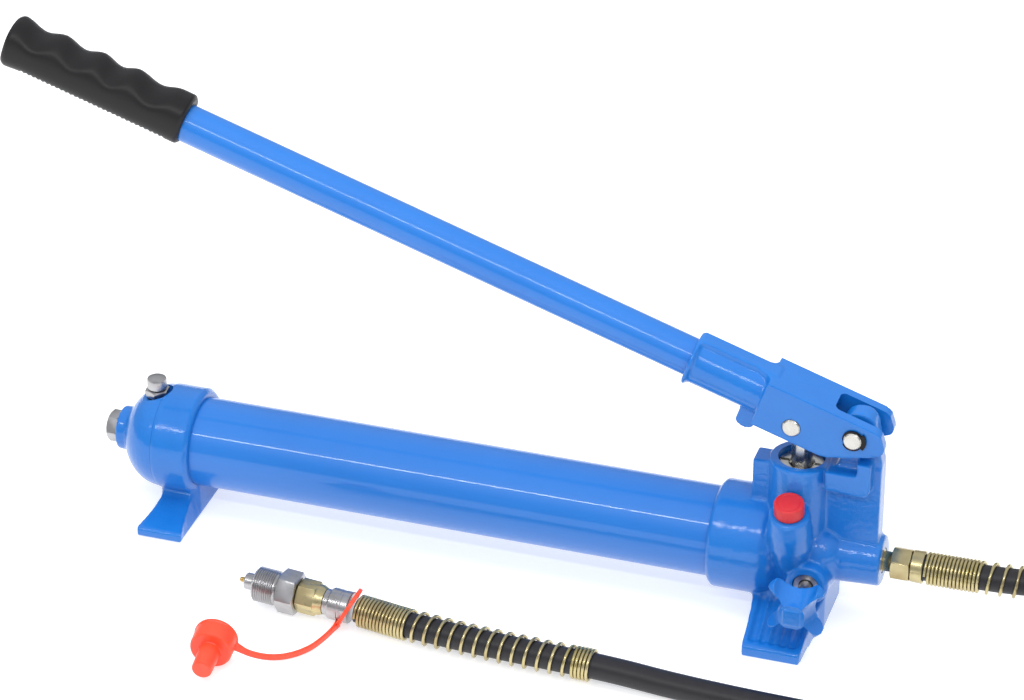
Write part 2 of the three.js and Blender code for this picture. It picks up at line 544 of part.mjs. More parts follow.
const strapPath = new THREE.CatmullRomCurve3([
  at(-306.2, -163, 9.4), at(-300, -161, 5.6), at(-291, -158.5, 3.3), at(-282, -154.6, 2.6), at(-274, -148, 2.6),
  at(-268, -139, 2.7), at(-264, -129, 3.4), at(-261.8, -121.4, 4.6)]);
const strapSection = new THREE.Shape([[-0.9, -2.2], [0.9, -2.2], [0.9, 2.2], [-0.9, 2.2]]
  .map(([x, y]) => new THREE.Vector2(x, y)));
add('dust_cap_strap', along(strapPath, strapSection, 14), orangePlastic);

const loop = new THREE.Group();
loop.position.set(-255.6, -106, 12.8);
loop.lookAt(loop.position.clone().add(at(0.884, -0.03, -0.468)));
pump.add(loop);
add('dust_cap_loop', turned([[12.3, -1.3], [13.6, -1.3], [13.6, 1.3], [12.3, 1.3], [12.3, -1.3]], 24),
  orangePlastic, loop);

export default pump;
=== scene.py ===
"""Looks of a lever-operated hydraulic hand pump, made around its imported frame.

Lengths are in millimetres while a piece is being modelled. Setting it in its place turns them into metres.
"""
import math
import bpy
from mathutils import Matrix, Vector


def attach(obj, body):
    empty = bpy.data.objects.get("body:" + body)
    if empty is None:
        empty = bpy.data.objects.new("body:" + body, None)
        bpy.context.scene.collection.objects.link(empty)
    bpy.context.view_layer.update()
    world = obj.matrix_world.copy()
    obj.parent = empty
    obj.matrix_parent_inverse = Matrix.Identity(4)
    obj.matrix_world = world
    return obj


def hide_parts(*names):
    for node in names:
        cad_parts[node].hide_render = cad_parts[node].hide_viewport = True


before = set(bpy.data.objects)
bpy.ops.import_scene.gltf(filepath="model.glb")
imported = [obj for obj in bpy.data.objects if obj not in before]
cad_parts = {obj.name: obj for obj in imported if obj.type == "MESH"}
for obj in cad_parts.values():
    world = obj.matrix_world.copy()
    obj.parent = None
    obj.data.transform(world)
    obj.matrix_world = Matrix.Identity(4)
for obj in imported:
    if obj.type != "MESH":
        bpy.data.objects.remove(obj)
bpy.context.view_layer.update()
scene = bpy.context.scene
bpy.ops.object.select_all(action="DESELECT")


# ---- studio ----
# A white sweep in a pale room whose walls are darker low down, under a large soft ceiling light. One long lamp in
# front of the pump draws the narrow bright line along its tubes.
def linear(colour):
    """A hex colour such as "#2f7fe0" as linear red, green, blue and alpha."""
    parts = [int(colour[i:i + 2], 16) / 255 for i in (1, 3, 5)]
    return [c / 12.92 if c <= 0.04045 else ((c + 0.055) / 1.055) ** 2.4 for c in parts] + [1.0]


def add_node(tree, kind, settings=None, links=None):
    """Adds a node, gives its inputs or properties their settings, and links other nodes' outputs to its inputs."""
    node = tree.nodes.new(kind)
    for name, value in (settings or {}).items():
        if name in node.inputs:
            node.inputs[name].default_value = value
        else:
            setattr(node, name, value)
    for name, output in (links or {}).items():
        tree.links.new(output, node.inputs[name])
    return node


def new_material(name, **constants):
    """A material with one Principled shader. Its constants are named as its sockets are, with _ for a space."""
    material = bpy.data.materials.new(name)
    material.use_nodes = True
    shader = material.node_tree.nodes["Principled BSDF"]
    for key, value in constants.items():
        shader.inputs[key.replace("_", " ").title().replace("Ior", "IOR")].default_value = value
    return material, material.node_tree, shader


world = bpy.data.worlds.new("white_room")
world.use_nodes = True
tree = world.node_tree
upward = add_node(tree, "ShaderNodeTexCoord").outputs["Generated"]
way = add_node(tree, "ShaderNodeSeparateXYZ", {}, {"Vector": upward})
walls = add_node(tree, "ShaderNodeValToRGB", {}, {"Fac": way.outputs["Z"]})
walls.color_ramp.elements[0].position, walls.color_ramp.elements[0].color = 0.05, linear("#8d9299")
walls.color_ramp.elements[1].position, walls.color_ramp.elements[1].color = 0.6, linear("#f8faff")
tree.links.new(walls.outputs["Color"], tree.nodes["Background"].inputs["Color"])
tree.nodes["Background"].inputs["Strength"].default_value = 0.8
scene.world = world
scene.view_settings.view_transform = "Standard"

bpy.ops.mesh.primitive_plane_add(size=60, location=(0, 0, -0.0004))
floor = bpy.context.object
floor.name = "floor"
white_sweep, _, _ = new_material("white_sweep", base_color=linear("#d6d6d6"), roughness=0.9,
                                 specular_ior_level=0.0, emission_color=linear("#ffffff"), emission_strength=0.6)
floor.data.materials.append(white_sweep)


def area_light(name, size, energy, place, target, mirrored=True):
    lamp = bpy.data.lights.new(name, "AREA")
    lamp.shape = "RECTANGLE"
    lamp.size, lamp.size_y = size
    lamp.energy = energy
    holder = bpy.data.objects.new(name, lamp)
    holder.location = place
    holder.rotation_euler = (Vector(target) - Vector(place)).to_track_quat("-Z", "Y").to_euler()
    holder.visible_camera = False
    holder.visible_glossy = mirrored
    scene.collection.objects.link(holder)


area_light("long_lamp", (3.4, 0.08), 19, (-0.1, -1.6, 1.75), (-0.15, 0, 0.05))
area_light("ceiling", (3.0, 1.6), 36, (-0.15, -0.1, 2.3), (-0.15, 0.0, 0), mirrored=False)

view_centre = Vector((-0.18484, 0, 0.14953))
view_azimuth, view_elevation, view_distance = math.radians(17.91), math.radians(30.70), 2.3987
view_back = Vector((math.sin(view_azimuth) * math.cos(view_elevation),
                    -math.cos(view_azimuth) * math.cos(view_elevation), math.sin(view_elevation)))
camera = bpy.data.objects.new("camera", bpy.data.cameras.new("camera"))
camera.data.lens = 137.45
camera.location = view_centre + view_back * view_distance
camera.rotation_euler = (-view_back).to_track_quat("-Z", "Y").to_euler()
scene.collection.objects.link(camera)
scene.camera = camera


# ---- hose ----
# Two-layer steel-braided hydraulic hose, 16 mm outside, with a smooth black rubber cover. It leaves the pump's
# outlet level, winds into a two-turn coil for storage, and lies back along the pump to its coupler.
MM = 0.001
HOSE_RADIUS = 8
COIL_CENTRE, COIL_RADIUS, COIL_SWEEP = Vector((258, -38, 0)), 84, 585


def smooth_line(points, spans=6):
    """Points along a smooth curve through the given points."""
    points = [Vector(p) for p in points]
    ends = [2 * points[0] - points[1], *points, 2 * points[-1] - points[-2]]
    line = []
    for a, b, c, d in zip(ends, ends[1:], ends[2:], ends[3:]):
        for i in range(spans):
            t = i / spans
            line.append(0.5 * (2 * b + (c - a) * t + (2 * a - 5 * b + 4 * c - d) * t ** 2
                               + (3 * b - a - 3 * c + d) * t ** 3))
    return line + [points[-1]]


def spaced(line, start, stop, count):
    """Evenly spaced points between two distances along a line."""
    reach = [0.0]
    for a, b in zip(line, line[1:]):
        reach.append(reach[-1] + (b - a).length)
    points, k = [], 0
    for i in range(count):
        distance = start + (stop - start) * i / (count - 1)
        while k < len(line) - 2 and reach[k + 1] < distance:
            k += 1
        points.append(line[k].lerp(line[k + 1], (distance - reach[k]) / (reach[k + 1] - reach[k])))
    return points


def wire(name, points, radius, rounds=4):
    """A round bar of that radius along the points, as a curve in metres."""
    curve = bpy.data.curves.new(name, "CURVE")
    curve.dimensions = "3D"
    curve.bevel_depth = radius * MM
    curve.bevel_resolution = rounds
    curve.use_fill_caps = True
    spline = curve.splines.new("POLY")
    spline.points.add(len(points) - 1)
    for spot, point in zip(spline.points, points):
        spot.co = (*(Vector(point) * MM), 1)
    bar = bpy.data.objects.new(name, curve)
    scene.collection.objects.link(bar)
    return bar


def ease(x):
    x = min(max(x, 0), 1)
    return x * x * (3 - 2 * x)


def coil_height(swept):
    """The hose comes in over the coil, drops to its upper turn and then to its lower one."""
    return 44.6 - 19.4 * ease((swept - 22) / 92) - 16 * ease((swept - 225) / 135) - 0.6 * ease((swept - 540) / 45)


pump_end = [(72, 0, 43.5), (86, 0, 43.5), (100, 0, 43.6), (114, 0.1, 43.8), (128, 0.5, 44.0), (141, 1.7, 44.2),
            (154, 4.3, 44.3), (167, 8.2, 44.4), (179, 12.9, 44.5), (189.5, 16.9, 44.6)]
coil = []
for swept in range(1, COIL_SWEEP + 1, 12):
    turned_to = math.radians(135 - swept)
    coil.append((COIL_CENTRE.x + COIL_RADIUS * math.cos(turned_to),
                 COIL_CENTRE.y + COIL_RADIUS * math.sin(turned_to), coil_height(swept)))
tool_end = [(236, -122, 8.6), (203, -122, 8.6), (180, -122, 8.2), (150, -122, 8.1), (120, -122, 8.1),
            (90, -121.8, 8.1), (60, -121.4, 8.1), (30, -121, 8.1), (0, -120.3, 8.1), (-28.5, -119, 8.2),
            (-52, -117.7, 8.6), (-75, -116.7, 9.8), (-98, -116.1, 10.6), (-125, -115.6, 10.7),
            (-155, -114.5, 10.7), (-186, -112.8, 10.8), (-217.5, -110, 11.1), (-240, -107.4, 12.0),
            (-250, -106.5, 12.5)]
hose_line = smooth_line(pump_end + coil + tool_end)
hose = wire("hose", hose_line, HOSE_RADIUS, rounds=10)


def clouded(tree, shader, scale, detail, dark, light):
    """Colours a finish with soft clouds between two colours. Gives back the place and the clouds."""
    place = add_node(tree, "ShaderNodeTexCoord").outputs["Object"]
    cloud = add_node(tree, "ShaderNodeTexNoise", {"Scale": scale, "Detail": detail}, {"Vector": place})
    tint = add_node(tree, "ShaderNodeMixRGB", {"Color1": linear(dark), "Color2": linear(light)},
                    {"Fac": cloud.outputs["Fac"]})
    tree.links.new(tint.outputs["Color"], shader.inputs["Base Color"])
    return place, cloud


def grained(tree, shader, place, scale, detail, strength, distance):
    """Roughens a finish with a fine random grain, its distance in metres."""
    grain = add_node(tree, "ShaderNodeTexNoise", {"Scale": scale, "Detail": detail}, {"Vector": place})
    bump = add_node(tree, "ShaderNodeBump", {"Strength": strength, "Distance": distance},
                    {"Height": grain.outputs["Fac"]})
    tree.links.new(bump.outputs["Normal"], shader.inputs["Normal"])
    return bump


# Extruded nitrile cover: nearly black, satin, with the faint mottling of an extruded rubber.
hose_cover, tree, shader = new_material("extruded_nitrile_cover", roughness=0.45, ior=1.45)
place, _ = clouded(tree, shader, 240, 4, "#1b1a1d", "#252428")
grained(tree, shader, place, 1500, 2, strength=0.12, distance=0.0002)
hose.data.materials.append(hose_cover)
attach(hose, "pump")
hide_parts("hose_pump_end", "hose_coil", "hose_tool_end")


# ---- spring guards ----
# A yellow-chromated spring wire guard keeps each end of the hose from kinking. It is wound tight over the ferrule,
# open along the hose, and tight again for its last five turns.
GUARD_LENGTH, GUARD_WIRE, GUARD_RADIUS = 155, 1.05, 9.35
TIGHT_PITCH, OPEN_PITCH = 2.32, 8.1


def guard(name, line, first, tight_start, tight_end):
    """A guard wound along a line from a distance of `first`, with its long tight stretch at the start."""
    distance, angle, points = GUARD_WIRE, 0.0, []
    step, samples = math.radians(18), 160
    middle_line = spaced(line, first, first + GUARD_LENGTH, samples)
    while distance < GUARD_LENGTH - GUARD_WIRE:
        open_share = ease((distance - tight_start) / 3) * ease((GUARD_LENGTH - tight_end - distance) / 3)
        share = distance / GUARD_LENGTH * (samples - 1)
        k = min(int(share), samples - 2)
        along = (middle_line[k + 1] - middle_line[k]).normalized()
        centre = middle_line[k].lerp(middle_line[k + 1], share - k)
        side = along.cross(Vector((0, 0, 1))).normalized()
        points.append(centre + GUARD_RADIUS * (math.cos(angle) * side + math.sin(angle) * side.cross(along)))
        angle += step
        distance += (TIGHT_PITCH + (OPEN_PITCH - TIGHT_PITCH) * open_share) * step / (2 * math.pi)
    return wire(name, points, GUARD_WIRE, rounds=3)


# Yellow chromate over zinc: pale brass yellow that drifts to straw green and pink as the film thickens.
yellow_chromate, tree, shader = new_material("yellow_chromated_zinc", metallic=1.0, roughness=0.27)
place = add_node(tree, "ShaderNodeTexCoord").outputs["Object"]
drift = add_node(tree, "ShaderNodeTexNoise", {"Scale": 38.0, "Detail": 3.0}, {"Vector": place})
film = add_node(tree, "ShaderNodeValToRGB", {}, {"Fac": drift.outputs["Fac"]})
film.color_ramp.elements[0].position, film.color_ramp.elements[0].color = 0.30, linear("#a8966c")
film.color_ramp.elements[1].position, film.color_ramp.elements[1].color = 0.68, linear("#bdaf74")
film.color_ramp.elements.new(0.5).color = linear("#c9bc90")
tree.links.new(film.outputs["Color"], shader.inputs["Base Color"])
scuff = add_node(tree, "ShaderNodeTexNoise", {"Scale": 420.0, "Detail": 4.0}, {"Vector": place})
dull = add_node(tree, "ShaderNodeMapRange", {"To Min": 0.2, "To Max": 0.42}, {"Value": scuff.outputs["Fac"]})
tree.links.new(dull.outputs["Result"], shader.inputs["Roughness"])

pump_guard = guard("pump_end_guard_spring", hose_line, 8, 33, 12)
tool_guard = guard("tool_end_guard_spring", hose_line[::-1], 0.5, 33, 12)
for piece, node in ((pump_guard, "pump_end_guard"), (tool_guard, "tool_end_guard")):
    piece.data.materials.append(yellow_chromate)
    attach(piece, "pump")
    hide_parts(node)


# ---- hose fittings ----
# Steel fittings turned on a lathe, zinc plated and crimped on: a ferrule at each end and a yellow swivel nut, then
# the plain zinc quick coupler with its thread, its nose and the brass poppet inside it.
def turned(name, profile, sides=72, hollow=False):
    """A round piece made about Z from its (radius, height) points. A hollow one is closed from last to first."""
    radius, height = profile[0]
    bpy.ops.mesh.primitive_circle_add(vertices=sides, radius=radius, fill_type="NGON", location=(0, 0, height))
    bpy.ops.object.transform_apply()
    piece = bpy.context.object
    piece.name = name
    bpy.ops.object.mode_set(mode="EDIT")
    bpy.ops.mesh.select_mode(type="FACE")
    bpy.ops.mesh.select_all(action="SELECT")
    for next_radius, next_height in profile[1:]:
        bpy.ops.mesh.extrude_region_move(TRANSFORM_OT_translate={"value": (0, 0, next_height - height)})
        bpy.ops.transform.resize(value=(next_radius / radius, next_radius / radius, 1),
                                 center_override=(0, 0, next_height))
        radius, height = next_radius, next_height
    if hollow:
        bpy.ops.mesh.select_all(action="DESELECT")
        bpy.ops.mesh.select_face_by_sides(number=4, type="GREATER")
        bpy.ops.mesh.bridge_edge_loops()
    bpy.ops.mesh.select_all(action="SELECT")
    bpy.ops.mesh.normals_make_consistent(inside=False)
    bpy.ops.object.mode_set(mode="OBJECT")
    bpy.ops.object.shade_smooth_by_angle(angle=math.radians(28))
    return piece


def moved(piece, origin, along=(0, 0, 1), roll=0, scale=1.0):
    """Sets a piece made about Z at an origin in millimetres, its Z along a direction, and rolled about it."""
    turn = Vector((0, 0, 1)).rotation_difference(Vector(along)).to_matrix().to_4x4()
    piece.matrix_world = (Matrix.Scale(scale, 4) @ Matrix.Translation(Vector(origin)) @ turn
                          @ Matrix.Rotation(math.radians(roll), 4, "Z"))
    bpy.ops.object.select_all(action="DESELECT")
    piece.select_set(True)
    bpy.context.view_layer.objects.active = piece
    bpy.ops.object.transform_apply()
    return piece


def apply_modifier(piece, kind, **settings):
    modifier = piece.modifiers.new(kind.lower(), kind)
    for key, value in settings.items():
        setattr(modifier, key, value)
    bpy.context.view_layer.objects.active = piece
    bpy.ops.object.modifier_apply(modifier=modifier.name)
    return piece


def combined(piece, tool, operation="DIFFERENCE"):
    """Cuts a tool from a piece, joins it on or keeps what they share, and takes the tool away."""
    apply_modifier(piece, "BOOLEAN", object=tool, operation=operation, solver="MANIFOLD")
    bpy.data.objects.remove(tool)
    return piece


def hexagon(name, across, low, high, chamfer=0.8):
    """A hexagon bar between two heights with both ends turned to a chamfer."""
    bpy.ops.mesh.primitive_cylinder_add(vertices=6, radius=across / math.sqrt(3), depth=high - low,
                                        location=(0, 0, (low + high) / 2))
    bar = bpy.context.object
    bar.name = name
    bpy.ops.object.transform_apply()
    corner, flat = across / math.sqrt(3) + 0.5, across / 2 - 0.3
    combined(bar, turned("chamfer", [(flat, low), (corner, low + chamfer), (corner, high - chamfer), (flat, high)]),
             "INTERSECT")
    return softened(bar, 0.25)


def softened(piece, width, segments=2):
    """Breaks a piece's sharp edges with a small round and shades it."""
    apply_modifier(piece, "BEVEL", width=width, segments=segments, limit_method="ANGLE",
                   angle_limit=math.radians(32), use_clamp_overlap=True)
    bpy.ops.object.select_all(action="DESELECT")
    piece.select_set(True)
    bpy.context.view_layer.objects.active = piece
    bpy.ops.object.shade_smooth_by_angle(angle=math.radians(28))
    return piece


def finished(piece, material, body, slot, *nodes):
    """Gives a piece its material and its body, and hides the nodes that it stands for. Its slot is not used."""
    piece.data.materials.clear()
    piece.data.materials.append(material)
    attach(piece, body)
    if nodes:
        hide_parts(*nodes)
    return piece


# Bright zinc plate: bluish silver with a fine blast grain under it and slightly uneven shine.
bright_zinc, tree, shader = new_material("bright_zinc_plate", metallic=1.0, roughness=0.3)
place, cloud = clouded(tree, shader, 130, 4, "#9a9896", "#c9c9cc")
dull = add_node(tree, "ShaderNodeMapRange", {"To Min": 0.2, "To Max": 0.42}, {"Value": cloud.outputs["Fac"]})
tree.links.new(dull.outputs["Result"], shader.inputs["Roughness"])
grained(tree, shader, place, 1300, 2, strength=0.12, distance=0.0003)

# Brass as cut: warm yellow metal with a low, even shine.
cut_brass, tree, shader = new_material("cut_brass", metallic=1.0, roughness=0.3)
clouded(tree, shader, 300, 3, "#b08c4a", "#d0b068")

# Machined steel: bright grey. Its turning marks are too fine to show, so they are drawn as a 0.5 mm grain.
machined_steel, tree, shader = new_material("machined_steel", metallic=1.0, roughness=0.28)
place = add_node(tree, "ShaderNodeTexCoord").outputs["Object"]
marks = add_node(tree, "ShaderNodeTexNoise", {"Scale": 2000.0, "Detail": 1.0}, {"Vector": place})
cloud = add_node(tree, "ShaderNodeTexNoise", {"Scale": 160.0, "Detail": 3.0}, {"Vector": place})
tint = add_node(tree, "ShaderNodeMixRGB", {"Color1": linear("#a9a59e"), "Color2": linear("#dddcd6")},
                {"Fac": cloud.outputs["Fac"]})
tree.links.new(tint.outputs["Color"], shader.inputs["Base Color"])
dull = add_node(tree, "ShaderNodeMapRange", {"To Min": 0.18, "To Max": 0.36}, {"Value": cloud.outputs["Fac"]})
tree.links.new(dull.outputs["Result"], shader.inputs["Roughness"])
bump = add_node(tree, "ShaderNodeBump", {"Strength": 0.08, "Distance": 0.0002}, {"Height": marks.outputs["Fac"]})
tree.links.new(bump.outputs["Normal"], shader.inputs["Normal"])

tool_start, tool_way = (-252, -106.3, 12.6), (-0.9973, 0.0605, 0.0430)

ferrule = turned("tool_end_ferrule_sleeve", [(7, 1.9), (9.5, 1.9), (10, 2.4), (10, 6.7), (9.7, 7.1), (9.7, 8.4),
                                             (10, 8.8), (10, 14.6), (9.4, 15.6), (8.2, 15.8), (8.2, 18.8),
                                             (6, 18.8)])
moved(ferrule, tool_start, tool_way, scale=MM)
finished(ferrule, bright_zinc, "pump", "bright_zinc", "tool_end_ferrule")

swivel = hexagon("hose_swivel_nut", 19, 24, 36.4)
combined(swivel, turned("shoulder", [(7, 19.2), (8.3, 19.2), (9.6, 22), (9.6, 25), (7, 25)]), "UNION")
moved(swivel, tool_start, tool_way, scale=MM)
finished(swivel, yellow_chromate, "pump", "yellow_zinc", "hose_nut")

THREAD_PITCH = 1.5
thread = [(9, 49), (10.2, 49), (10.2, 51.6)]
for ridge in range(9):
    start = 51.8 + THREAD_PITCH * ridge
    thread += [(10.25, start + 0.1), (11, start + 0.6), (11, start + 0.85), (10.25, start + 1.4)]
thread += [(9.8, 65.8), (5.3, 66.1), (5.3, 72.1), (4.8, 72.8), (2, 72.8)]
quick_coupler = hexagon("quick_coupler_body", 24, 36.8, 49.2, chamfer=1.2)
combined(quick_coupler, turned("threaded_end", thread), "UNION")
for radius, low, high in ((3.9, 55, 71.2), (1.9, 70, 74)):
    combined(quick_coupler, turned("bore", [(radius, low), (radius, high)], sides=40))
moved(quick_coupler, tool_start, tool_way, scale=MM)
finished(quick_coupler, bright_zinc, "pump", "bright_zinc", "coupler_body")

poppet = turned("coupler_poppet_pin", [(2, 64.5), (3.5, 64.5), (3.5, 67.8), (1.6, 68), (1.6, 76.3), (1, 77)],
                sides=32)
moved(poppet, tool_start, tool_way, scale=MM)
finished(poppet, cut_brass, "coupler_poppet", "brass", "coupler_poppet")

pump_ferrule = turned("pump_end_ferrule_sleeve", [(8.6, 72), (9.6, 72), (9.9, 72.4), (10.2, 78.9), (9.9, 79.4),
                                                  (8.6, 79.4)], hollow=True)
moved(pump_ferrule, (0, 0, 43.5), (1, 0, 0), scale=MM)
finished(pump_ferrule, yellow_chromate, "pump", "yellow_zinc", "pump_end_ferrule")
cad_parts["coupler_spring"].data.materials[0] = machined_steel


# ---- dust cap ----
# Soft orange PVC, moulded in one piece: a cup that pulls over the coupler, a pull stub, a flat strap and a loop
# that stays round the hose ferrule.
def strap(name, points, width, thick, flare=1.0, closed=False):
    """A flat strip with round edges along the points, as wide as it is told across the way it runs."""
    strip = wire(name, points, thick / 2, rounds=3)
    strip.data.extrude = (width - thick) / 2 * MM
    spline = strip.data.splines[0]
    spline.use_cyclic_u = closed
    for i, spot in enumerate(spline.points):
        spot.tilt = math.pi / 2 if closed else 0
        share = i / (len(points) - 1)
        spot.radius = 1 + (flare - 1) * max(0, 1 - 6 * min(share, 1 - share))
    return strip


soft_pvc, tree, shader = new_material("moulded_orange_pvc", roughness=0.36, ior=1.53, subsurface_weight=0.08,
                                      subsurface_scale=0.002)
place, _ = clouded(tree, shader, 90, 3, "#f24526", "#fa5131")
grained(tree, shader, place, 900, 2, strength=0.12, distance=0.0003)

cap = turned("dust_cap_cup", [(5.4, 30.4), (5.4, 12.6), (11.2, 12.4), (11.8, 0.4), (12.1, 0), (13.4, 0),
                              (13.8, 0.5),
                              (13.8, 1.9), (13.4, 2.4), (13.1, 12.6), (12.7, 13.6), (11.9, 14.1), (7.2, 14.4),
                              (6.8, 14.9), (6.3, 31.3), (6, 32.1), (5.3, 32.5)])
moved(cap, (-320.6, -162, 14.7), (2.7, -32.6, -3.2), scale=MM)
finished(cap, soft_pvc, "pump", "orange_plastic", "dust_cap")

strap_line = smooth_line([(-309, -164, 11.6), (-306.2, -163, 9.4), (-300, -161, 5.6), (-291, -158.5, 3.3),
                          (-282, -154.6, 2.6), (-274, -148, 2.6), (-268, -139, 2.7), (-264, -129, 3.4),
                          (-261.6, -121.4, 4.4), (-261.1, -116.5, 4.2),
                          (-261.2, -111, 3.6)])
cap_strap = strap("dust_cap_strap_strip", strap_line, 4.4, 1.8, flare=1.5)
finished(cap_strap, soft_pvc, "pump", "orange_plastic", "dust_cap_strap")

cap_loop = turned("dust_cap_loop_ring", [(12.3, -1.3), (13.2, -1.3), (13.6, -0.9), (13.6, 0.9), (13.2, 1.3),
                                         (12.3, 1.3)], hollow=True)
moved(cap_loop, (-255.6, -106, 12.8), (0.884, -0.03, -0.468), scale=MM)
finished(cap_loop, soft_pvc, "pump", "orange_plastic", "dust_cap_loop")


# ---- coil tie ----
# A black rubber band moulded as a flat ring. It is slipped round both turns of the coiled hose and holds them.
moulded_rubber, tree, shader = new_material("moulded_black_rubber", roughness=0.6, ior=1.52)
place, _ = clouded(tree, shader, 160, 4, "#1d1c1e", "#2a292b")
grained(tree, shader, place, 1200, 2, strength=0.2, distance=0.0003)

BAND_R = HOSE_RADIUS + 1.1
band_points = []
for step in range(48):
    around = 2 * math.pi * step / 48
    middle = 25.2 if math.sin(around) > 0 else 9.2
    band_points.append((COIL_CENTRE.x + COIL_RADIUS + BAND_R * math.cos(around), COIL_CENTRE.y,
                        max(middle + BAND_R * math.sin(around), 0.8)))
coil_band = strap("coil_band", band_points, 12, 1.2, closed=True)
finished(coil_band, moulded_rubber, "pump", "tie_rubber", "coil_tie")


# ---- reservoir ----
# A drawn steel tube holds the oil. It is sprayed with a thin, glossy blue enamel and sits on a flat rubber seal in
# each end casting.
smooth_enamel, tree, shader = new_material("sprayed_blue_enamel", roughness=0.4, ior=1.45, coat_weight=0.6,
                                           coat_roughness=0.04)
place, _ = clouded(tree, shader, 14, 3, "#0f6ec6", "#1678d2")
bump = grained(tree, shader, place, 260, 2, strength=0.05, distance=0.0003)
tree.links.new(bump.outputs["Normal"], shader.inputs["Coat Normal"])

RESERVOIR_Z = 44
tube = turned("reservoir_shell", [(26, -401.7), (28.5, -401.7), (28.5, -41), (26, -41)], sides=128, hollow=True)
moved(tube, (0, 0, RESERVOIR_Z), (1, 0, 0), scale=MM)
finished(tube, smooth_enamel, "pump", "blue_enamel", "reservoir_tube")
for node in ("rear_tube_seal", "front_tube_seal", "filler_seal", "plunger_seal", "release_seal"):
    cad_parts[node].data.materials[0] = moulded_rubber


# ---- rear end cap ----
# A grey iron casting closes the back of the reservoir: a collar, a dome with a boss for the tie bolt, a flat spot
# for the filler and a foot. The foundry's soft edges show through the enamel sprayed over it.
def foot(name, middle_x, base_half, stations):
    """A foot about y = 0 from its stations, from the middle out: reach along Y, half its width, and its height.

    Its flanks slope out to half a base width at the floor.
    """
    reach, half, high = stations[0]
    bpy.ops.mesh.primitive_cube_add(size=1, location=(middle_x, reach / 2, high / 2), scale=(2 * half, reach, high))
    bpy.ops.object.transform_apply()
    base = bpy.context.object
    base.name = name
    for side in (-1, 1):
        bpy.ops.object.mode_set(mode="OBJECT")
        for polygon in base.data.polygons:
            polygon.select = polygon.normal.y * side > 0.9
        bpy.ops.object.mode_set(mode="EDIT")
        bpy.ops.mesh.select_mode(type="FACE")
        if side < 0:
            bpy.ops.mesh.delete(type="FACE")
    for next_reach, next_half, next_high in stations[1:]:
        bpy.ops.mesh.extrude_region_move(TRANSFORM_OT_translate={"value": (0, next_reach - reach, 0)})
        bpy.ops.transform.resize(value=(next_half / half, 1, next_high / high),
                                 center_override=(middle_x, next_reach, 0))
        reach, half, high = next_reach, next_half, next_high
    bpy.ops.object.mode_set(mode="OBJECT")
    for corner in base.data.vertices:
        if corner.co.z < 0.01:
            across = corner.co.x - middle_x
            corner.co.x = middle_x + math.copysign(max(base_half, abs(across)), across)
    return apply_modifier(base, "MIRROR", use_axis=(False, True, False))


def as_cast(name, parts, voxel, rounds):
    """Melts overlapping solids into one casting with every edge and inner corner rounded."""
    bpy.ops.object.select_all(action="DESELECT")
    for part in parts:
        part.select_set(True)
    bpy.context.view_layer.objects.active = parts[0]
    bpy.ops.object.join()
    casting = bpy.context.object
    casting.name = name
    apply_modifier(casting, "REMESH", mode="VOXEL", voxel_size=voxel)
    apply_modifier(casting, "SMOOTH", factor=0.5, iterations=rounds)
    return casting


def bored(casting, bores):
    """Machines round bores into a casting: radius, where each starts, which way it goes and how far."""
    for radius, start, way, depth in bores:
        drill = turned("drill", [(radius, 0), (radius, depth)], sides=64)
        combined(casting, moved(drill, start, way))
    bpy.ops.object.select_all(action="DESELECT")
    casting.select_set(True)
    bpy.context.view_layer.objects.active = casting
    bpy.ops.object.shade_smooth_by_angle(angle=math.radians(35))
    return casting


cast_enamel, tree, shader = new_material("blue_enamel_on_casting", roughness=0.42, ior=1.42,
                                         specular_ior_level=0.3, coat_weight=0.8, coat_roughness=0.03)
place, _ = clouded(tree, shader, 45, 4, "#0e6cc3", "#1879d0")
peel = add_node(tree, "ShaderNodeTexNoise", {"Scale": 360.0, "Detail": 3.0, "Roughness": 0.55}, {"Vector": place})
bump = add_node(tree, "ShaderNodeBump", {"Strength": 0.5, "Distance": 0.0004}, {"Height": peel.outputs["Fac"]})
tree.links.new(bump.outputs["Normal"], shader.inputs["Normal"])
tree.links.new(bump.outputs["Normal"], shader.inputs["Coat Normal"])

BAND_X, DOME_LENGTH, DOME_RADIUS, COLLAR_RADIUS = -415.7, 28.3, 33.4, 34
dome = [(6, -448.5), (13.4, -448.5), (14.2, -447.7), (14.2, -441)]
for step in range(3, 13):
    around = math.pi / 2 * step / 12
    dome.append((DOME_RADIUS * math.sin(around), BAND_X - DOME_LENGTH * math.cos(around)))
dome += [(COLLAR_RADIUS, BAND_X + 0.8), (COLLAR_RADIUS, -394.4), (31.4, -391.7), (20, -391.7)]
rear_foot = foot("rear_foot", -403.7, 15, [(14, 12.4, 24), (19, 10, 17), (24, 9.5, 13.2), (34, 11, 9.8),
                                           (42, 12.6, 8), (49, 14.4, 6.8), (52.6, 15.2, 6.2), (54.4, 14.4, 5.4)])
rear_shell = moved(turned("rear_shell", dome, sides=96), (0, 0, RESERVOIR_Z), (1, 0, 0))
rear_cap = as_cast("rear_cap_casting", [rear_shell, rear_foot], voxel=0.85, rounds=5)
seam = turned("seam", [(33.1, BAND_X - 0.5), (35.4, BAND_X - 1.1), (35.4, BAND_X + 0.1)], sides=96, hollow=True)
combined(rear_cap, moved(seam, (0, 0, RESERVOIR_Z), (1, 0, 0)))
bored(rear_cap, [(28.7, (-404, 0, RESERVOIR_Z), (1, 0, 0), 14), (24, (-424, 0, RESERVOIR_Z), (1, 0, 0), 21),
                 (4.4, (-450, 0, RESERVOIR_Z), (1, 0, 0), 30), (7, (-450, 0, RESERVOIR_Z), (1, 0, 0), 3.2),
                 (10.2, (-423, 0, 71.5), (0, 0, 1), 20), (5.4, (-423, 0, 55), (0, 0, 1), 30)])
moved(rear_cap, (0, 0, 0), scale=MM)
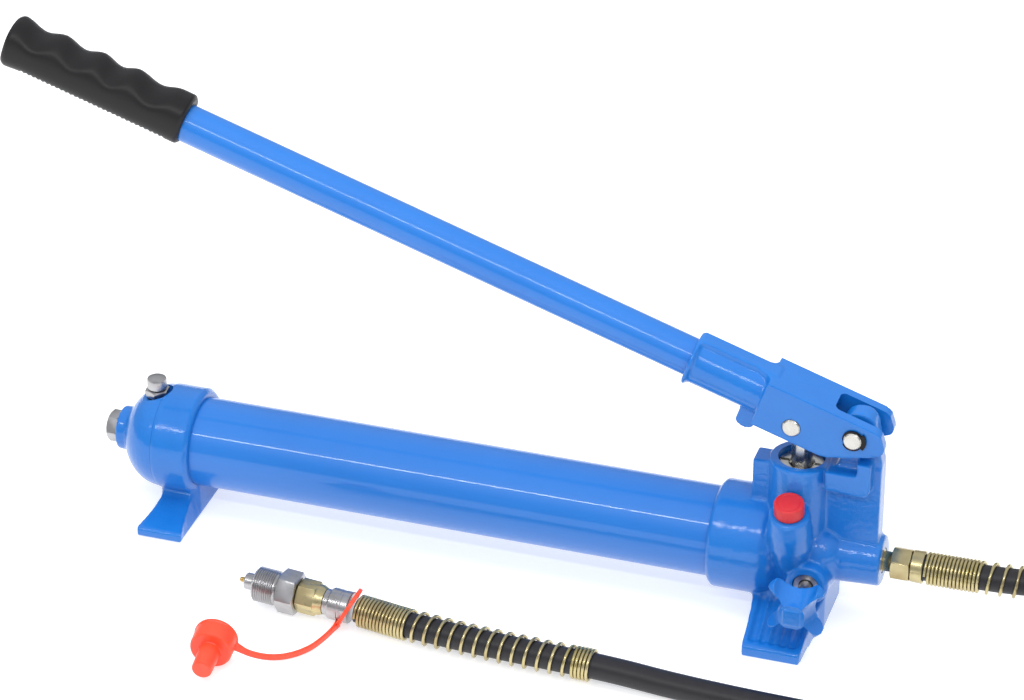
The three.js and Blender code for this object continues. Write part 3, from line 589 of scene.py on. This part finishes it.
finished(rear_cap, cast_enamel, "pump", "blue_cast_enamel", "rear_end_cap")


# ---- tie bolt ----
# A zinc-plated hexagon bolt runs right through the reservoir and clamps both end castings to it. A copper washer
# seals it in the boss.
tie_bolt = hexagon("tie_bolt_screw", 18, -456.7, -448.85, chamfer=1.3)
combined(tie_bolt, turned("shank", [(4, -451), (4, -19)], sides=48), "UNION")
moved(tie_bolt, (0, 0, RESERVOIR_Z), (1, 0, 0), scale=MM)
finished(tie_bolt, bright_zinc, "pump", "bright_zinc", "tie_bolt")

# Copper: a soft washer and the suction pipe, both reddish and slightly dulled.
drawn_copper, tree, shader = new_material("drawn_copper", metallic=1.0, roughness=0.32)
clouded(tree, shader, 110, 3, "#a8623f", "#c9825a")
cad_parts["tie_bolt_seal"].data.materials[0] = drawn_copper
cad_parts["suction_tube"].data.materials[0] = drawn_copper
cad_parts["suction_strainer"].data.materials[0] = cut_brass


# ---- filler plug ----
# A small zinc-plated hexagon plug screws into the top of the rear cap over a rubber seal. Its round top is the
# vent screw, slackened by hand while pumping.
FILLER = Vector((-423, 0, 71.5))
plug = hexagon("filler_plug", 14, 1.4, 6.4)
combined(plug, turned("stem", [(4.9, -9), (4.9, 2)], sides=40), "UNION")
combined(plug, turned("vent_bore", [(2.6, -10), (2.6, 8)], sides=32))
moved(plug, FILLER, roll=6, scale=MM)
finished(plug, bright_zinc, "pump", "bright_zinc", "filler_plug_body")

vent_screw = turned("vent_screw", [(2.1, -4), (2.1, 6.6), (4.4, 6.7), (5.9, 7), (6.3, 7.5), (6.3, 13), (6, 13.7),
                                   (5.4, 14), (1.6, 14.1)])
moved(vent_screw, FILLER, scale=MM)
finished(vent_screw, bright_zinc, "vent_cap", "bright_zinc", "vent_cap")


# ---- pump body ----
# One iron casting: collar for the reservoir, cylinder, outlet boss, release boss, relief boss, lever fin, lever
# stop, lug and a ribbed foot. Only its bores are machined, and blue enamel covers the rest.
def block(name, low, high):
    """A block between two corners, as a lump that a casting is built up from."""
    low, high = Vector(low), Vector(high)
    bpy.ops.mesh.primitive_cube_add(size=1, location=(low + high) / 2, scale=high - low)
    bpy.ops.object.transform_apply()
    bpy.context.object.name = name
    return bpy.context.object


def plate(name, outline, low, high):
    """A plate between two heights with its outline given in X and Y."""
    bpy.ops.mesh.primitive_circle_add(vertices=len(outline), fill_type="NGON")
    piece = bpy.context.object
    piece.name = name
    for corner, (x, y) in zip(piece.data.vertices, outline):
        corner.co = (x, y, low)
    bpy.ops.object.mode_set(mode="EDIT")
    bpy.ops.mesh.select_all(action="SELECT")
    bpy.ops.mesh.extrude_region_move(TRANSFORM_OT_translate={"value": (0, 0, high - low)})
    bpy.ops.mesh.select_all(action="SELECT")
    bpy.ops.mesh.normals_make_consistent(inside=False)
    bpy.ops.object.mode_set(mode="OBJECT")
    return piece


def upright(piece):
    """Stands a plate up: its Y becomes Z and its height runs toward -Y."""
    return moved(piece, (0, 0, 0), (0, -1, 0))


def arc(x, y, radius, start, stop, steps=8):
    """Points round an arc, its angles in degrees."""
    angles = [math.radians(start + (stop - start) * i / steps) for i in range(steps + 1)]
    return [(x + radius * math.cos(a), y + radius * math.sin(a)) for a in angles]


OUTLET_Z, MOUTH_Z, RELEASE, RELIEF = 43.5, 108.4, Vector((12.7, 0, 35)), Vector((0, -27.5, 84))
RELIEF_WAY = Vector((0, -math.sin(math.radians(12)), math.cos(math.radians(12))))
FIN_TOP, fin_round = 149, 11

collar = moved(turned("collar", [(20, -51), (31.5, -51), (34, -48.5), (34, -18), (31, -12), (25, -7), (12, -7)], 96),
               (0, 0, RESERVOIR_Z), (1, 0, 0))
core = moved(turned("core", [(20, -24), (25, -22), (25, 2), (22, 13), (16, 19), (8, 20)]), (0, 0, RESERVOIR_Z),
             (1, 0, 0))
cylinder = turned("cylinder", [(17, 22), (19.6, 26), (19.6, MOUTH_Z), (12, MOUTH_Z)], 96)
outlet_boss = moved(turned("outlet_boss", [(17.6, 0), (17.2, 22), (16.1, 48), (16, 52.8), (15, 54), (8, 54)]),
                    (0, 0, OUTLET_Z), (1, 0, 0))
release_boss = moved(turned("release_boss", [(16, 0), (13.5, 22), (13.5, 28.6), (12.2, 30), (6, 30)]), RELEASE,
                     (0, -1, 0))
relief_boss = moved(turned("relief_boss", [(2.5, -58), (6, -50), (10.5, -38), (13.4, -24), (13.8, -12), (12.6, -1.2),
                                           (11.8, 0), (5, 0)]), RELIEF, RELIEF_WAY)
bpy.ops.mesh.primitive_uv_sphere_add(segments=48, ring_count=24, radius=18.6, location=(15, -3.5, 45.5))
bpy.ops.object.transform_apply()
shoulder = bpy.context.object
fin = upright(plate("fin", [(10, 40), (51, 40), (51, 114)]
                    + arc(35.6, FIN_TOP - fin_round, fin_round, 0, 180, 16) + [(35.6 - fin_round, 101), (10, 101)],
                    -5.6, 6.4))
web = upright(plate("fin_web", [(10, 40), (51, 40), (51, 112), (24, 112), (10, 101)], -7.5, 7.5))
stop = upright(plate("lever_stop", [(18, 97)] + arc(41, 101, 5, -90, 0, 5) + [(46, 117.6), (44.6, 119), (37.5, 119),
                                                                             (37.5, 110), (18, 110)], -16, 16))
lug = block("lug", (-28.6, -8, 72), (-10, 8, 105.5))
front_foot = foot("front_foot", 0, 18, [(20, 23, 24), (27, 21, 19.8), (36, 19.8, 16.4), (50, 18.8, 11.6),
                                        (60, 18.4, 8), (62.6, 18.2, 7.2), (63.8, 17, 6)])
FLUTES, FLUTE_PITCH, FLUTE_RADIUS = 5, 6.8, 3.7
for side in (-1, 1):
    for flute in range(FLUTES):
        across = (flute - (FLUTES - 1) / 2) * FLUTE_PITCH
        root, tip = Vector((across, side * 27, 21.6)), Vector((across * 0.9, side * 58, 10.4))
        run = (tip - root).length
        groove = turned("groove", [(2.6, -2), (FLUTE_RADIUS, 1), (FLUTE_RADIUS, run), (2, run + 2)], 20)
        combined(front_foot, moved(groove, root, tip - root))
pump_body = as_cast("pump_body_casting", [collar, core, cylinder, outlet_boss, release_boss, relief_boss, fin, web,
                                          stop, lug, front_foot, shoulder], voxel=0.92, rounds=5)
minus_y = (0, -1, 0)
bored(pump_body, [(28.7, (-52, 0, RESERVOIR_Z), (1, 0, 0), 13.3), (24, (-39, 0, RESERVOIR_Z), (1, 0, 0), 9),
                  (4.4, (-31, 0, RESERVOIR_Z), (1, 0, 0), 13), (14.45, (0, 0, 88), (0, 0, 1), 30),
                  (10, (0, 0, 80), (0, 0, 1), 9), (6.9, (0, 0, 30), (0, 0, 1), 51),
                  (2, (-31, 0, 26), (1, 0, 0), 24), (8, (34, 0, OUTLET_Z), (1, 0, 0), 22),
                  (4.6, (20, 0, 46.5), (1, 0, 0), 15), (8.5, RELEASE + Vector((0, -20, 0)), minus_y, 12),
                  (4.4, RELEASE + Vector((0, -11, 0)), minus_y, 10), (3.3, RELEASE + Vector((0, -4, 0)), minus_y, 8),
                  (9.9, RELIEF, RELIEF_WAY, 14), (5.4, RELIEF - 20 * RELIEF_WAY, RELIEF_WAY, 21),
                  (5.9, (34.3, 12, 136.1), minus_y, 24)])
moved(pump_body, (0, 0, 0), scale=MM)
finished(pump_body, cast_enamel, "pump", "blue_cast_enamel", "pump_body")


# ---- cylinder and valves ----
# A slotted steel gland nut holds the seal round the ground plunger. Balls, springs and seats work inside the body
# and are made of the same hardened steel.
gland = turned("gland_nut_ring", [(6.9, 88.3), (14.1, 88.3), (14.1, 104), (13.6, 104.5), (8.2, 104.5), (6.9, 103.2)],
               96, hollow=True)
combined(gland, block("spanner_slot", (-15, -1.3, 102.4), (15, 1.3, 106)))
moved(gland, (0, 0, 0), scale=MM)
finished(gland, machined_steel, "pump", "turned_steel", "gland_nut")

PLUNGER_EYE = 137.5
rod = turned("plunger_rod", [(4.5, 58), (6, 58), (6.5, 58.6), (6.5, PLUNGER_EYE - 7), (4, PLUNGER_EYE - 7)], 64)
eye = upright(plate("eye", arc(1.2, PLUNGER_EYE, 9.6, -90, 90, 16) + arc(-3.8, PLUNGER_EYE, 9.6, 90, 270, 16),
                    -6, 6))
slot = upright(plate("slot", arc(1.3, PLUNGER_EYE, 6.1, -90, 90, 12) + arc(-3.9, PLUNGER_EYE, 6.1, 90, 270, 12),
                     -8, 8))
combined(rod, eye, "UNION")
combined(rod, slot)
moved(softened(rod, 0.3), (0, 0, 0), scale=MM)
finished(rod, machined_steel, "plunger", "turned_steel", "plunger")
for node in ("inlet_seat", "inlet_ball", "inlet_ball_stop", "outlet_ball", "outlet_spring", "relief_ball",
             "relief_spring", "relief_screw", "release_needle"):
    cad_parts[node].data.materials[0] = machined_steel


# ---- outlet adapter ----
# A yellow-chromated steel adapter screws into the outlet boss and carries the hose: thread, neck and hexagon.
adapter = hexagon("outlet_adapter_nut", 19, 59.6, 71.6)
combined(adapter, turned("neck", [(2.4, 34.5), (7.6, 34.5), (7.6, 53.6), (6.3, 54.4), (6.3, 60.4), (2.4, 60.4)]),
         "UNION")
combined(adapter, turned("oil_way", [(2, 33), (2, 73)], sides=32))
moved(adapter, (0, 0, OUTLET_Z), (1, 0, 0), roll=30, scale=MM)
finished(adapter, yellow_chromate, "pump", "yellow_zinc", "outlet_adapter")


# ---- relief valve cap ----
# A plain red polyethylene cap is pushed over the relief valve's setting screw.
red_cap_plastic, tree, shader = new_material("moulded_red_polyethylene", roughness=0.42, ior=1.51,
                                             subsurface_weight=0.06, subsurface_scale=0.0015)
place, cloud = clouded(tree, shader, 240, 3, "#c9262a", "#d52e33")
bump = add_node(tree, "ShaderNodeBump", {"Strength": 0.08, "Distance": 0.0003}, {"Height": cloud.outputs["Fac"]})
tree.links.new(bump.outputs["Normal"], shader.inputs["Normal"])
red_cap = turned("relief_valve_cap", [(4.2, -1.9), (5, -1.6), (5, 0.3), (8.9, 0.3), (9.3, 0.8), (9.3, 8), (9, 8.8),
                                      (8.3, 9.2), (7.4, 9.2), (7.2, 9), (6.8, 9), (6.6, 9.2), (5.4, 9.4), (2, 9.5)])
moved(red_cap, RELIEF, RELIEF_WAY, scale=MM)
finished(red_cap, red_cap_plastic, "relief_cap", "red_plastic", "relief_cap")


# ---- release valve ----
# A zinc-plated gland and spindle carry the four-lobed release knob. The knob is a small casting in the pump's own
# enamel, turned by hand to let the oil back.
release_gland = turned("release_gland_ring", [(4.5, 22.5), (8.1, 22.5), (8.1, 29), (7.8, 29.4), (4.7, 29.4),
                                              (4.5, 29.2)], hollow=True)
moved(release_gland, RELEASE, minus_y, scale=MM)
finished(release_gland, bright_zinc, "pump", "bright_zinc", "release_gland")

spindle = turned("release_spindle_rod", [(3.2, 13.8), (4, 14.6), (4, 59), (2, 59)], 48)
moved(spindle, RELEASE, minus_y, scale=MM)
finished(spindle, bright_zinc, "release_knob", "bright_zinc", "release_spindle")

SCOOP_RADIUS = 14.4
knob_blank = turned("knob_blank", [(13, 47.8), (19, 48.6), (21.8, 51), (21.8, 56.5), (20.4, 59), (9, 65), (4, 65.4)])
for quarter in range(4):
    out = Vector((math.cos(quarter * math.pi / 2), math.sin(quarter * math.pi / 2), 0))
    low, high = out * 28 + Vector((0, 0, 44)), out * 18 + Vector((0, 0, 69))
    scoop = turned("scoop", [(SCOOP_RADIUS, -2), (SCOOP_RADIUS, (high - low).length)], sides=48)
    combined(knob_blank, moved(scoop, low, high - low))
bpy.ops.mesh.primitive_cone_add(vertices=4, radius1=9.6, radius2=7.2, depth=8, location=(0, 0, 62))
bpy.ops.object.transform_apply()
hub_front = moved(bpy.context.object, (0, 0, 0), roll=45)
hub_back = turned("hub_back", [(6, 47.5), (8.5, 47.5), (9.5, 52), (6, 52)])
knob = as_cast("release_knob_casting", [knob_blank, hub_back, hub_front], voxel=0.5, rounds=5)
combined(knob, turned("spindle_bore", [(4.3, 46), (4.3, 59.6)], sides=40))
moved(knob, RELEASE, minus_y, scale=MM)
bpy.ops.object.shade_smooth_by_angle(angle=math.radians(40))
finished(knob, cast_enamel, "release_knob", "blue_cast_enamel", "release_knob")


# ---- lever head ----
# The lever's forked head is one casting: a block with two ears round the fin, a tab below and a socket behind that
# the tube is pressed into. It is modelled level on the lever's own axes and then tipped up about the pivot pin.
LEVER_ANGLE, LEVER_AXIS, HEAD_HALF, EAR_GAP = math.radians(18.4), -5.3, 16.5, 9.6
PIVOT = Vector((34.3, 0, 136.1))
PIN_ON_LEVER = (Vector((-3.8, 0, PLUNGER_EYE)) - PIVOT) @ Matrix.Rotation(LEVER_ANGLE, 3, "Y")


def on_lever(piece):
    """Tips a piece modelled on the lever's own level axes up about the pivot, and into metres."""
    piece.matrix_world = Matrix.Scale(MM, 4) @ Matrix.Translation(PIVOT) @ Matrix.Rotation(LEVER_ANGLE, 4, "Y")
    bpy.ops.object.select_all(action="DESELECT")
    piece.select_set(True)
    bpy.context.view_layer.objects.active = piece
    bpy.ops.object.transform_apply()
    return piece


ear_side = ([(-60, -20.8), (-18, -20.8), (-14, -20.6), (-10.5, -19.7), (-2, -15.5), (13, -7.3)]
            + arc(14.3, 0.6, 5.6, -38, 30, 6) + [(14.6, 9.6), (11.5, 11.0), (8, 11.2), (-60, 11.2)])
head_block = upright(plate("head_block", ear_side, -HEAD_HALF, HEAD_HALF))
socket = moved(turned("socket", [(6, -109), (16, -109), (16.9, -108), (16.9, -107), (14.6, -105.2), (14.4, -58),
                                 (6, -58)]), (0, 0, LEVER_AXIS), (1, 0, 0))
rib = block("rib", (-107, -5.6, 0), (-56, 6.6, 11.9))
rib_root = plate("rib_root", [(-56, -13), (-56, 13)] + arc(-67, 13.6, 7.5, 0, -90, 6)
                 + arc(-67, -13.6, 7.5, 90, 0, 6), 0, 11.3)
tab = upright(plate("tab", [(-70, -10), (-70, -27.5)] + arc(-66, -27.5, 4, 180, 270, 4)
                    + arc(-62, -27.5, 4, 270, 360, 4) + [(-58, -10)], -6, 6))
head = as_cast("lever_head_casting", [head_block, socket, rib, rib_root, tab], voxel=0.85, rounds=3)
fork = upright(plate("fork", [(-54, -40), (25, -40), (25, 3.5), (-54, 3.5)], -EAR_GAP, EAR_GAP))
combined(head, fork)
slot_outline = [(25, -EAR_GAP), (25, EAR_GAP)]
slot_outline += arc(-14, EAR_GAP - 4, 4, 90, 180, 5) + arc(-14, 4 - EAR_GAP, 4, 180, 270, 5)
combined(head, plate("top_slot", slot_outline, -40, 20))
pin_hole = PIN_ON_LEVER + Vector((0, 20, 0))
bored(head, [(12.4, (-110, 0, LEVER_AXIS), (1, 0, 0), 44), (6.6, (0, 20, 0), minus_y, 40),
             (5.9, pin_hole, minus_y, 40)])
on_lever(head)
finished(head, cast_enamel, "handle", "blue_cast_enamel", "handle_head")

# Blackened spring steel of the clips on the pivot pin: nearly black, with a dull oily shine.
blackened_steel, tree, shader = new_material("blackened_spring_steel", metallic=0.8, roughness=0.45)
clouded(tree, shader, 500, 3, "#1c1b1c", "#353232")
for side, node in ((1, "pivot_clip_near"), (-1, "pivot_clip_far")):
    ring = upright(plate(node + "_ring", arc(0, 0, 6.7, 40, 320, 28) + arc(0, 0, 8.4, 320, 400, 10), 16.9, 17.9))
    combined(ring, upright(turned("clip_bore", [(5, 16), (5, 19)], sides=40)))
    combined(ring, upright(block("clip_mouth", (-9, -3.2, 16), (0, 3.2, 19))))
    moved(ring, PIVOT + Vector((0, 34.8 if side < 0 else 0, 0)), scale=MM)
    finished(ring, blackened_steel, "pump", "black_steel", node)

plunger_pin = turned("plunger_pin_bar", [(3, -17.4), (4.9, -17.4), (5.6, -16.7), (5.6, 16.7), (4.9, 17.4),
                                         (3, 17.4)])
on_lever(moved(plunger_pin, PIN_ON_LEVER, minus_y))
finished(plunger_pin, machined_steel, "handle", "turned_steel", "plunger_pin")

pivot_bar = [(3, -18.9), (4.9, -18.9), (5.6, -18.2), (5.6, -18.1), (4.8, -18.1), (4.8, -16.7), (5.6, -16.7)]
pivot_bar += [(radius, -height) for radius, height in reversed(pivot_bar)]
pivot_pin = moved(turned("pivot_pin_bar", pivot_bar), PIVOT, minus_y, scale=MM)
finished(pivot_pin, machined_steel, "pump", "turned_steel", "pivot_pin")


# ---- lever tube and grip ----
# A drawn steel tube in the same smooth enamel as the reservoir. A black PVC grip with four finger hollows, a
# flared end and fine ribs below is dipped hot over its end.
lever_tube = turned("lever_tube_shell", [(9.8, -560), (12, -560), (12, -66.4), (9.8, -66.4)], 96, hollow=True)
on_lever(moved(lever_tube, (0, 0, LEVER_AXIS), (1, 0, 0)))
finished(lever_tube, smooth_enamel, "handle", "blue_enamel", "handle_tube")

GRIP_END, GRIP_MOUTH, GRIP_STEP = -570, -449.5, 0.8
CRESTS = [-566.7, -539, -513, -488.8, -459.4]
HOLLOW_DEPTH, GRIP_TOP, GRIP_BOTTOM, GRIP_HALF, RIB_PITCH, RIB_HEIGHT = 4.4, 18.6, 13.3, 15, 3.2, 0.9


def grip_top(s):
    """How high the top of the grip stands over the tube's axis."""
    for a, b in zip(CRESTS, CRESTS[1:]):
        if a <= s <= b:
            return GRIP_TOP - HOLLOW_DEPTH * (0.5 - 0.5 * math.cos(2 * math.pi * (s - a) / (b - a))) ** 0.8
    return GRIP_TOP


stations = round((GRIP_MOUTH - GRIP_END) / GRIP_STEP)
grip = turned("lever_grip", [(10, GRIP_END + GRIP_STEP * i) for i in range(stations + 1)], sides=64)
for corner in grip.data.vertices:
    s, around = corner.co.z, math.atan2(corner.co.y, -corner.co.x)
    inward = min(1, (s - GRIP_END) / 3.2, (GRIP_MOUTH - s) / 2.2)
    end_round = 1 - 0.1 * (1 - inward) ** 2
    flare = 1 + 0.05 * ease((-556 - s) / 12)
    y = GRIP_HALF * math.copysign(abs(math.sin(around)) ** 0.86, math.sin(around))
    up = math.cos(around)
    reach = (GRIP_TOP + 1.2) if up > 0 else GRIP_BOTTOM
    t = reach * math.copysign(abs(up) ** 0.86, up)
    top = grip_top(s) - 0.03 * y * y
    t = min(t, top) - max(4 - abs(t - top), 0) ** 2 / 16
    rib = 0.5 - 0.5 * math.cos(2 * math.pi * (s - GRIP_END) / RIB_PITCH)
    if up < -0.6 and GRIP_END + 12 < s < GRIP_MOUTH - 9:
        t += RIB_HEIGHT * rib
    corner.co = (-t * end_round * (flare if t < 0 else 1), y * end_round * flare, s)
combined(grip, turned("tube_bore", [(12.4, -564), (12.4, -440)], sides=64))
on_lever(moved(grip, (0, 0, LEVER_AXIS), (1, 0, 0)))
bpy.ops.object.shade_smooth_by_angle(angle=math.radians(24))

# Dipped PVC: dark warm grey, satin, with the soft clouding of a mould release.
grip_rubber, tree, shader = new_material("moulded_grip_pvc", roughness=0.42, ior=1.53, specular_ior_level=0.3)
place, cloud = clouded(tree, shader, 60, 4, "#121112", "#1b191a")
dull = add_node(tree, "ShaderNodeMapRange", {"To Min": 0.34, "To Max": 0.52}, {"Value": cloud.outputs["Fac"]})
tree.links.new(dull.outputs["Result"], shader.inputs["Roughness"])
grained(tree, shader, place, 800, 2, strength=0.15, distance=0.0003)
finished(grip, grip_rubber, "handle", "grip_rubber", "handle_grip")
